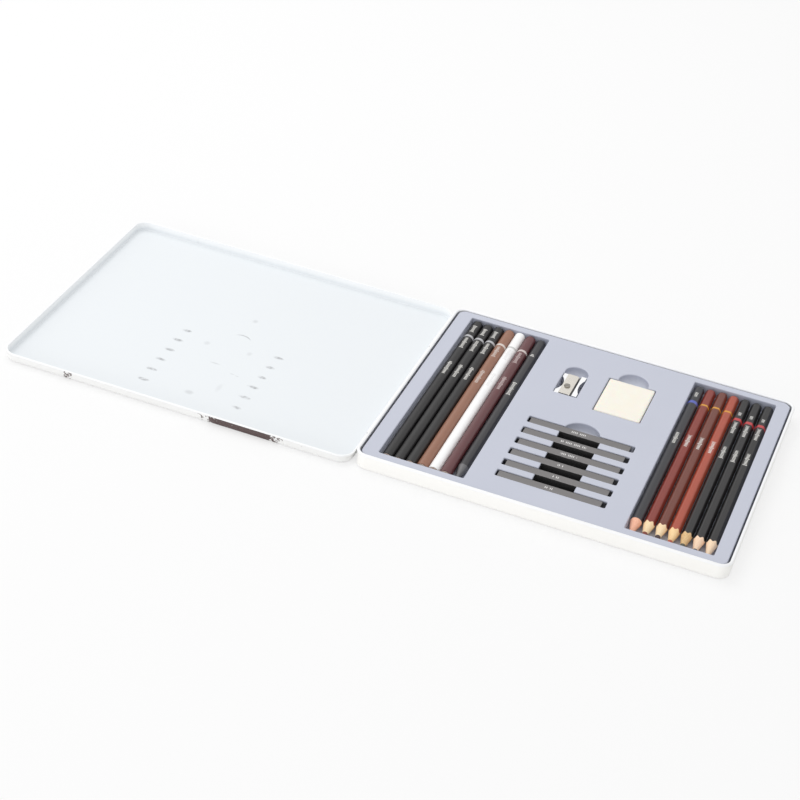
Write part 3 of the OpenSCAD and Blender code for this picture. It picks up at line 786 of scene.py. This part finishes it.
LEFT_STAMPS = ((24.5, 39.0), (58.5, 74.5))
GRADED_STAMPS = ((7.0, 16.0), *LEFT_STAMPS)
GRAPHITE_STAMPS = ((20.5, 23.5), (60.0, 76.0))
charcoal_black = pencil_paint(
    "matte black pencil lacquer, grey ring", "#121011", "#bcbcbf", stamps=GRADED_STAMPS, gloss=0.42
)
charcoal_paints = [charcoal_black] * 3 + [
    pencil_paint(name, paint, ring, stamps=LEFT_STAMPS, foil=foil) for name, paint, ring, foil in (
        ("light brown pencil lacquer, pale ring", "#946650", "#dcd0c8", "#d8cfc8"),
        ("white pencil lacquer, grey ring", "#ffffff", "#cfcfce", "#e4e2e2"),
        ("dark red-brown pencil lacquer, pale ring", "#5e2f32", "#d4c6c2", "#cdbcba"),
    )
]
graphite_coat = pencil_paint(
    "clear lacquer over solid graphite", "#2a292d", stamps=GRAPHITE_STAMPS, gloss=0.34
)
gold = {"ring": "#dc9c2c", "ring_at": 21.2, "ring_wide": 1.8, "stamps": ((60.5, 74.5),)}
red = {"ring": "#c23a3f", "ring_at": 26.8, "ring_wide": 3.0}
red["stamps"] = ((17.5, 21.5), (30.5, 45.0), (62.0, 76.5))
blue = {"ring": "#5560b8", "ring_at": 20.9, "ring_wide": 3.0, "stamps": ((9.0, 14.0), (61.0, 74.5))}
sketch_black = pencil_paint("black pencil lacquer, red ring", "#100e0f", **red)
drawing_paints = [
    pencil_paint("blue-black pencil lacquer, blue ring", "#26262c", **blue),
    pencil_paint("red-brown pencil lacquer, gold ring", "#842e21", **gold),
    pencil_paint("umber pencil lacquer, gold ring", "#6d3324", **gold),
    pencil_paint("orange-red pencil lacquer, gold ring", "#ab4a33", **gold),
    sketch_black, sketch_black, sketch_black,
]
print("paints:", len({p.name for p in charcoal_paints + drawing_paints}) + 1)

# %% [markdown]
# ## Cedar and leads
# Sharpening bares the cedar. Its grain runs along the pencil, so it is noise that is drawn out
# along that way and packed tightly across it, in two tones less than a millimetre apart, and the
# blade leaves shallow ridges round the cone. A lead is pressed pigment or graphite: charcoal drinks
# the light, and graphite shines a little where it is rubbed.

# %% Cedar and leads
def cedar(name, pale, dark):
    """Cut cedar, with grain along the pencil and the blade's fine ridges across it."""
    finish, tree, shader = new_finish(name, Roughness=0.62, IOR=1.45)
    place = in_mm(tree)
    drawn = add(tree, "ShaderNodeMapping", {"Vector": place, "Scale": (2.6, 0.16, 2.6)})
    grain = add(
        tree, "ShaderNodeTexNoise",
        {"Vector": drawn, "Scale": 1.0, "Detail": 4.0, "Roughness": 0.6},
    )
    spread = add(
        tree, "ShaderNodeMapRange",
        {"Value": grain.outputs["Fac"], "From Min": 0.35, "From Max": 0.68},
    )
    tone = add(tree, "ShaderNodeMix", [spread, linear(pale), linear(dark)], data_type="RGBA")
    tree.links.new(main_output(tone), shader.inputs["Base Color"])
    ridges = add(
        tree, "ShaderNodeTexWave", {"Vector": place, "Scale": 0.55, "Distortion": 2.5, "Detail": 2.0},
        wave_type="BANDS", bands_direction="Y",
    )
    both = add(
        tree, "ShaderNodeMath",
        [ridges.outputs["Fac"], grain.outputs["Fac"]], operation="ADD",
    )
    bump = add(tree, "ShaderNodeBump", {"Height": both, "Strength": 0.35, "Distance": 0.00006})
    tree.links.new(bump.outputs[0], shader.inputs["Normal"])
    return finish


def pressed_core(name, shade, worn, rough):
    """A pressed lead: its shade, the paler shade where it is rubbed, and its roughness."""
    finish, tree, shader = new_finish(name, IOR=1.6)
    place = in_mm(tree)
    crumb = add(tree, "ShaderNodeTexNoise", {"Vector": place, "Scale": 3.5, "Detail": 4.0})
    tone = add(
        tree, "ShaderNodeMix",
        [crumb.outputs["Fac"], linear(shade), linear(worn)], data_type="RGBA",
    )
    tree.links.new(main_output(tone), shader.inputs["Base Color"])
    crumbs = crumb.outputs["Fac"]
    uneven_surface(tree, shader, crumbs, rough - 0.1, rough + 0.1, crumbs, 0.3, 0.00005)
    return finish


cedar_woods = [cedar(*look) for look in (
    ("rosy cedar, cut", "#ffc6aa", "#f6b092"), ("pale cedar, cut", "#ffe9c2", "#f9d6a6"),
    ("pale cedar, cut fresh", "#ffe9c4", "#f9d8aa"), ("amber cedar, cut", "#ffe0ac", "#f9cb94"),
    ("brown cedar, cut", "#ecc996", "#d8b07c"), ("pinkish cedar, cut", "#ffe4c8", "#f9d0b0"),
    ("creamy cedar, cut", "#ffe8ca", "#f9d6b4"),
)]
sawn_cedar = cedar("cedar, sawn across", "#fce8d6", "#f2d6c0")
charcoal_core = pressed_core("pressed charcoal core", "#201e1e", "#2d2a2a", 0.85)
drawing_cores = [pressed_core(*look) for look in (
    ("grey graphite core", "#46464a", "#5c5c60", 0.45),
    ("red-brown chalk core", "#7c3a2e", "#8e4a3c", 0.8),
    ("umber chalk core", "#48393a", "#574648", 0.8),
    ("orange-red chalk core", "#b0503c", "#c0634e", 0.8),
    ("olive-grey graphite core", "#3f4238", "#545646", 0.5),
    ("soft graphite core", "#3b3b3e", "#525256", 0.45),
    ("softer graphite core", "#37373a", "#4e4e52", 0.45),
)]
solid_graphite = pressed_core("bare graphite, turned to a point", "#59595c", "#6d6c6e", 0.42)
print("woods:", len(cedar_woods) + 1, "cores:", len(drawing_cores) + 2)

# %% [markdown]
# ## Seven pencils in the left well
# Six thick round pencils that have never been sharpened, with bare wood at their front ends, and a
# stick of solid graphite that is pointed along its whole section. Each piece takes its place from
# the solid that it stands for, so a pencil that has slid along its well stays where it is.

# %% Left well
def tip_of(node):
    """Where a pencil's axis meets its front end, in millimetres, from the box of its core."""
    low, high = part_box(node)
    return ((low.x + high.x) * 500, low.y * 1000, (low.z + high.z) * 500)


def dress_pencil(name, body, casing_profile, lead, paint, wood, core, flat, corner, slots):
    """Makes a pencil's casing and its core."""
    place = tip_of(name + "_lead")
    casing = rolled_pencil(name + "_barrel", casing_profile, place, paint, wood, flat, corner)
    finish_piece(casing, body, slots[0], [name + "_casing"])
    inner = rolled_pencil(name + "_core", lead, place, core, core, 9.0, 9.0)
    finish_piece(inner, body, slots[1], [name + "_lead"])


left_slots = ["black_paint"] * 3 + ["brown_paint", "white_paint", "dark_red_paint"]
for i, (paint, slot) in enumerate(zip(charcoal_paints, left_slots), 1):
    name = f"left_pencil_{i}"
    dress_pencil(
        name, name, unsharpened_profile(1.92, 3.8), lead_profile(1.9, None),
        paint, sawn_cedar, charcoal_core, 9.0, 3.8, (slot, "soft_lead"),
    )

graphite = rolled_pencil(
    "graphite_stick", [(0.0, 0.02, 1), (0.6 * TIP, 0.05, 1)] + sharpened_profile(0.0, 3.49, 3.49)[1:],
    tip_of("graphite_pencil"), graphite_coat, solid_graphite, 3.49, 3.49,
)
finish_piece(graphite, "graphite_pencil", "graphite", ["graphite_pencil"])

# %% [markdown]
# ## Seven pencils in the right well
# The first is round and slim, and the other six have six sides. All are sharpened, and here the
# rule draws the scalloped edge of the paint.

# %% Right well
HEX_FLAT, HEX_CORNER = 3.39, 3.66
CORES = (1.1, 1.68, 1.68, 1.55, 1.6, 1.5, 1.1)
right_slots = [
    ("slate_paint", "grey_lead"), ("red_brown_paint", "red_brown_lead"),
    ("umber_paint", "umber_lead"),
    ("orange_red_paint", "orange_red_lead"), *[("black_paint", "grey_lead")] * 3,
]
for i in range(7):
    name = f"right_pencil_{i + 1}"
    flat, corner = (3.7, 3.7) if i == 0 else (HEX_FLAT, HEX_CORNER)
    dress_pencil(
        name, name, sharpened_profile(CORES[i] + 0.02, flat, corner), lead_profile(CORES[i], flat),
        drawing_paints[i], cedar_woods[i], drawing_cores[i], flat if i else 9.0, corner, right_slots[i],
    )

# %% [markdown]
# ## Drawing sticks
# Six square sticks of pressed charcoal and graphite. They are the same shape six times, so they
# come from one tree: a block whose grid crowds towards its edges, so that the edges can be rounded
# by pulling each point onto a ball that rolls inside the block. Real sticks chip at their edges, so
# the edge is pushed in here and there by seeded noise.

# %% The stick tree
def stick_tree():
    tree = bpy.data.node_groups.new("pressed stick", "GeometryNodeTree")
    for label, kind in (
        ("Size", "NodeSocketVector"), ("Edge Radius", "NodeSocketFloat"),
        ("Chip Depth", "NodeSocketFloat"), ("Seed", "NodeSocketFloat"),
        ("Place", "NodeSocketVector"), ("Stamp Middle", "NodeSocketFloat"),
        ("Stamp Half Length", "NodeSocketFloat"), ("Finish", "NodeSocketMaterial"),
        ("Side Finish", "NodeSocketMaterial"),
    ):
        tree.interface.new_socket(label, in_out="INPUT", socket_type=kind)
    tree.interface.new_socket("Stick", in_out="OUTPUT", socket_type="NodeSocketGeometry")
    given = add(tree, "NodeGroupInput").outputs
    block = add(
        tree, "GeometryNodeMeshCube",
        {"Size": (2.0, 2.0, 2.0), "Vertices X": 81, "Vertices Y": 11, "Vertices Z": 11},
    )
    known = {socket.name: socket for socket in given}
    known["where"] = add(tree, "GeometryNodeInputPosition")
    known["edge"] = add(tree, "ShaderNodeCombineXYZ", [given["Edge Radius"]] * 3)
    ones = (1.0, 1.0, 1.0)
    for name, operation, *values in (
        ("off middle", "ABSOLUTE", "where"), ("to edge", "SUBTRACT", ones, "off middle"),
        ("crowd", "MULTIPLY", "to edge", "to edge"), ("crowded", "SUBTRACT", ones, "crowd"),
        ("hand", "SIGN", "where"), ("crowded to hand", "MULTIPLY", "hand", "crowded"),
        ("half", "MULTIPLY", "Size", (0.5, 0.5, 0.5)), ("spread", "MULTIPLY", "crowded to hand", "half"),
        ("most", "SUBTRACT", "half", "edge"), ("least", "MULTIPLY", "most", (-1.0, -1.0, -1.0)),
        ("inner", "MINIMUM", "spread", "most"), ("inner", "MAXIMUM", "inner", "least"),
        ("away", "SUBTRACT", "spread", "inner"), ("outward", "NORMALIZE", "away"),
        ("far", "LENGTH", "away"),
    ):
        known[name] = add(
            tree, "ShaderNodeVectorMath", [known.get(v, v) for v in values], operation=operation
        )
    noise = add(
        tree, "ShaderNodeTexNoise",
        {"Vector": known["spread"], "W": given["Seed"], "Scale": 900.0, "Detail": 3.0},
        noise_dimensions="4D",
    )
    flaw = add(
        tree, "ShaderNodeMapRange",
        {"Value": noise.outputs["Fac"], "From Min": 0.52, "From Max": 0.75},
    )
    sharpness = add(
        tree, "ShaderNodeMath",
        [known["far"], given["Edge Radius"]], operation="DIVIDE",
    )
    sharpness = add(
        tree, "ShaderNodeMapRange", {"Value": sharpness, "From Min": 1.0, "From Max": 1.4}
    )
    chip = add(tree, "ShaderNodeMath", [flaw, sharpness], operation="MULTIPLY")
    chip = add(tree, "ShaderNodeMath", [chip, given["Chip Depth"]], operation="MULTIPLY")
    reach = add(tree, "ShaderNodeMath", [given["Edge Radius"], chip], operation="SUBTRACT")
    rounded = add(
        tree, "ShaderNodeVectorMath", {0: known["outward"], "Scale": reach}, operation="SCALE"
    )
    rounded = add(tree, "ShaderNodeVectorMath", [known["inner"], rounded], operation="ADD")

    # What the stamp needs to know: how far along it a point is, from -1 to 1, how far across, and
    # how far below the top. It is stored before the points move, because it is worked out from the
    # block's first positions.
    split = add(tree, "ShaderNodeSeparateXYZ", [known["spread"]])
    past = add(
        tree, "ShaderNodeMath",
        [split.outputs["X"], given["Stamp Middle"]], operation="SUBTRACT",
    )
    past = add(tree, "ShaderNodeMath", [past, given["Stamp Half Length"]], operation="DIVIDE")
    over = add(tree, "ShaderNodeSeparateXYZ", [known["half"]])
    below = add(
        tree, "ShaderNodeMath",
        [over.outputs["Z"], split.outputs["Z"]], operation="SUBTRACT",
    )
    stamp = add(tree, "ShaderNodeCombineXYZ", [past, split.outputs["Y"], below])
    shape = add(
        tree, "GeometryNodeStoreNamedAttribute",
        {"Geometry": block.outputs["Mesh"], "Name": "stamp", "Value": stamp},
        data_type="FLOAT_VECTOR", domain="POINT",
    )
    shape = add(tree, "GeometryNodeSetPosition", {"Geometry": shape, "Position": rounded})
    moved = add(tree, "GeometryNodeTransform", {"Geometry": shape, "Translation": given["Place"]})
    real = add(tree, "GeometryNodeRealizeInstances", {"Geometry": moved})
    painted = add(tree, "GeometryNodeSetMaterial", {"Geometry": real, "Material": given["Finish"]})
    # Faces that stand upright take the side finish, whose darker colour is painted shade.
    facing = add(tree, "ShaderNodeSeparateXYZ", [add(tree, "GeometryNodeInputNormal")])
    upright = add(tree, "ShaderNodeMath", [facing.outputs["Z"], 0.6], operation="LESS_THAN")
    painted = add(
        tree, "GeometryNodeSetMaterial",
        {"Geometry": painted, "Selection": upright, "Material": given["Side Finish"]},
    )
    add(tree, "NodeGroupOutput", {"Stick": painted})
    return tree


pressed_stick = stick_tree()
print("stick tree:", len(pressed_stick.nodes), "nodes")

# %% [markdown]
# Pressed charcoal and graphite are nearly black, yet their tops look grey. Graphite bends light far
# more than paint does, so a smooth pressed face reflects about a fifth of the light at this angle. The
# sides, which are never rubbed, keep a duller, rougher skin, and their colour is painted darker than
# the tops', a painted shade. Each top carries a white stamp of plain strokes, longer on the first
# three sticks than on the others.

# %% Stick finish
stick_charcoal, tree, shader = new_finish("pressed charcoal with a graphite sheen", IOR=2.4)
place = in_mm(tree)
crumb = add(tree, "ShaderNodeTexNoise", {"Vector": place, "Scale": 2.6, "Detail": 4.0})
tone = add(
    tree, "ShaderNodeMix", [crumb.outputs["Fac"], linear("#292222"), linear("#413838")],
    data_type="RGBA",
)
stamp = add(tree, "ShaderNodeAttribute", attribute_name="stamp").outputs["Vector"]
known = dict(zip(("past", "across", "below"), add(tree, "ShaderNodeSeparateXYZ", [stamp]).outputs))
known["x"] = add(tree, "ShaderNodeSeparateXYZ", [place]).outputs["X"]
for name, operation, *values in (
    ("past", "ABSOLUTE", "past"), ("on length", "LESS_THAN", "past", 1.0),
    ("across", "ABSOLUTE", "across"), ("on width", "LESS_THAN", "across", 0.00095),
    ("on top", "LESS_THAN", "below", 0.00005), ("beat", "DIVIDE", "x", 1.1),
    ("beat", "FRACT", "beat"), ("stroke", "LESS_THAN", "beat", 0.5),
    ("group", "DIVIDE", "x", 5.5), ("group", "FRACT", "group"),
    ("group", "LESS_THAN", "group", 0.8), ("ink", "MULTIPLY", "stroke", "group"),
    ("ink", "MULTIPLY", "ink", "on length"), ("ink", "MULTIPLY", "ink", "on width"),
    ("ink", "MULTIPLY", "ink", "on top"), ("ink", "MULTIPLY", "ink", 0.8),
):
    known[name] = add(
        tree, "ShaderNodeMath",
        [known.get(v, v) for v in values], operation=operation,
    )
stamped = add(tree, "ShaderNodeMix", [known["ink"], tone, linear("#f2f0ee")], data_type="RGBA")
tree.links.new(main_output(stamped), shader.inputs["Base Color"])
drag = add(tree, "ShaderNodeMapping", {"Vector": place, "Scale": (0.06, 1.4, 1.4)})
rubbed = add(tree, "ShaderNodeTexNoise", {"Vector": drag, "Scale": 1.0, "Detail": 3.0})
rubs, crumbs = rubbed.outputs["Fac"], crumb.outputs["Fac"]
uneven_surface(tree, shader, rubs, 0.34, 0.56, crumbs, 0.2, 0.00004)
# The sides' finish is painted darker than the tops': painted shade on the faces that look into the
# slots.
shaded_sides_charcoal = pressed_core("pressed charcoal, dull sides", "#141314", "#1f1d1e", 0.82)
print("made:", stick_charcoal.name)

# %% Sticks in their slots
# Where each stamp's middle is and how long it is, as shares of the stick's length.
STAMPS = ((0.497, 0.17), (0.497, 0.25), (0.498, 0.16), (0.486, 0.06), (0.485, 0.066), (0.491, 0.088))
for i, (stamp_at, stamp_long) in enumerate(STAMPS, 1):
    low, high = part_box(f"stick_{i}")
    length = high.x - low.x
    piece = bpy.data.objects.new(f"drawing_stick_{i}", bpy.data.meshes.new(f"drawing_stick_{i}"))
    bpy.context.scene.collection.objects.link(piece)
    press = piece.modifiers.new("stick", "NODES")
    press.node_group = pressed_stick
    sizes = {
        "Size": list(high - low), "Edge Radius": 0.00035, "Chip Depth": 0.0003, "Seed": float(i),
        "Place": list((low + high) / 2), "Stamp Middle": (stamp_at - 0.5) * length,
        "Stamp Half Length": stamp_long * length / 2, "Finish": stick_charcoal,
        "Side Finish": shaded_sides_charcoal,
    }
    for socket in pressed_stick.interface.items_tree:
        if socket.in_out == "INPUT":
            press[socket.identifier] = sizes[socket.name]
    finish_piece(smooth(settled(piece)), f"stick_{i}", "charcoal", [f"stick_{i}"])

# %% [markdown]
# ## The eraser
# A block of soft rubber, cut from a moulded bar. Its edges are round, its faces swell very slightly
# and are a little uneven, and it scatters light below its surface, which gives it a warm, waxy
# look. It is a box with rounded edges whose faces are divided and then nudged by smooth noise.

# %% Eraser
from mathutils import noise as smooth_noise

low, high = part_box("eraser")
middle, half = (low + high) / 2, (high - low) / 2
work = bmesh.new()
bmesh.ops.create_cube(work, size=2.0)
bmesh.ops.scale(work, vec=half, verts=work.verts)
bmesh.ops.bevel(
    work, geom=list(work.edges), offset=0.0013, segments=4, profile=0.55, affect="EDGES"
)
long_edges = [e for e in work.edges if e.calc_length() > 0.004]
bmesh.ops.subdivide_edges(work, edges=long_edges, cuts=17, use_grid_fill=True)
for vertex in work.verts:
    x, y, z = (vertex.co[k] / half[k] for k in range(3))
    swell = 0.00018 * (1 - x * x) * (1 - y * y) * z
    uneven = 0.00006 * smooth_noise.noise(vertex.co * 160)
    vertex.co.z += swell + uneven - 0.0001 * (z > 0.9)
    vertex.co += middle
mesh = bpy.data.meshes.new("eraser_block")
work.to_mesh(mesh)
work.free()
block = bpy.data.objects.new("eraser_block", mesh)
bpy.context.scene.collection.objects.link(block)

soft_rubber, tree, shader = new_finish(
    "soft cream eraser rubber", IOR=1.5, Subsurface_Weight=0.12, Subsurface_Scale=0.0015
)
place = in_mm(tree)
cloud = add(tree, "ShaderNodeTexNoise", {"Vector": place, "Scale": 0.12, "Detail": 4.0})
tone = add(
    tree, "ShaderNodeMix",
    [cloud.outputs["Fac"], linear("#fdf9ee"), linear("#faf3e4")], data_type="RGBA",
)
tree.links.new(main_output(tone), shader.inputs["Base Color"])
skin = add(tree, "ShaderNodeTexNoise", {"Vector": place, "Scale": 2.2, "Detail": 3.0})
pores = skin.outputs["Fac"]
uneven_surface(tree, shader, pores, 0.55, 0.75, pores, 0.2, 0.00006)
finish_piece(smooth(block), "eraser", "eraser", ["eraser"], soft_rubber)

# %% [markdown]
# ## The sharpener
# A wedge sharpener: a milled block of magnesium alloy with a hollow on each side for the fingers, a
# ground steel blade, and a slotted screw. Milled metal keeps fine parallel lines, and the hollows have
# upright grip ribs. The bore under the blade is painted dark grey, partly graphite dust and partly
# painted shade in the bore. The blade is ground across its length, up to its edge. All three are
# softened copies with up to a tenth of a millimetre taken off their edges.

# %% Sharpener
# How far the bore's dust and painted shade reach either side of the middle, and where the ribs begin, in
# mm.
BORE_HALF, RIBS_FROM = 4.3, 4.8


def brushed_metal(name, shade, bright, along, rough, ribs=None):
    """Metal with fine tool lines: along is how closely the noise is packed on each axis, per mm."""
    finish, tree, shader = new_finish(name, Metallic=1.0)
    place = in_mm(tree)
    drawn = add(tree, "ShaderNodeMapping", {"Vector": place, "Scale": along})
    lines = add(tree, "ShaderNodeTexNoise", {"Vector": drawn, "Scale": 1.0, "Detail": 3.0})
    tone = add(
        tree, "ShaderNodeMix",
        [lines.outputs["Fac"], linear(shade), linear(bright)], data_type="RGBA",
    )
    scored = height = lines.outputs["Fac"]
    if ribs:
        middle_x, top_z, pitch = ribs
        known = dict(zip("xyz", add(tree, "ShaderNodeSeparateXYZ", [place]).outputs))
        known["scored"] = scored
        for label, operation, *values in (
            ("inside", "COMPARE", "x", middle_x, BORE_HALF), ("low", "LESS_THAN", "z", top_z + 0.6),
            ("dust", "MULTIPLY", "inside", "low"), ("dust", "MULTIPLY", "dust", 0.85),
            ("off", "SUBTRACT", "x", middle_x), ("off", "ABSOLUTE", "off"),
            ("beside", "GREATER_THAN", "off", RIBS_FROM), ("below", "LESS_THAN", "z", top_z),
            ("wave", "MULTIPLY", "y", 2 * math.pi / pitch), ("wave", "SINE", "wave"),
            ("wave", "MULTIPLY", "wave", "beside"), ("wave", "MULTIPLY", "wave", "below"),
            ("height", "MULTIPLY_ADD", "wave", 4.0, "scored"),
        ):
            values = [known.get(v, v) for v in values]
            known[label] = add(tree, "ShaderNodeMath", values, operation=operation)
        # The bore is painted dark grey: partly graphite dust, partly painted shade.
        bore_dust_and_shade_grey = linear("#2c2b2d")
        tone = add(tree, "ShaderNodeMix", [known["dust"], tone, bore_dust_and_shade_grey], data_type="RGBA")
        height = known["height"]
    tree.links.new(main_output(tone), shader.inputs["Base Color"])
    uneven_surface(tree, shader, scored, rough - 0.1, rough + 0.1, height, 0.3, 0.00005)
    return finish


low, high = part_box("sharpener_body")
ribs = ((low.x + high.x) * 500, high.z * 1000 - 1.2, 0.9)
milled = brushed_metal("milled magnesium alloy", "#f0f0f1", "#fcfcfc", (0.6, 6.0, 6.0), 0.34, ribs)
ground = brushed_metal("ground blade steel", "#cfcac1", "#e4e0d8", (0.5, 9.0, 0.5), 0.3)
turned = brushed_metal("turned steel screw", "#8e8a84", "#a8a49c", (5.0, 5.0, 5.0), 0.36)
for node, name, edge, slot, metal in (
    ("sharpener_body", "sharpener_block", 0.0001, "sharpener_metal", milled),
    ("sharpener_blade", "ground_blade", 0.00006, "blade_steel", ground),
    ("sharpener_screw", "blade_screw", 0.00008, "screw_steel", turned),
):
    finish_piece(softened_copy(node, name, edge), "sharpener", slot, [node], metal)
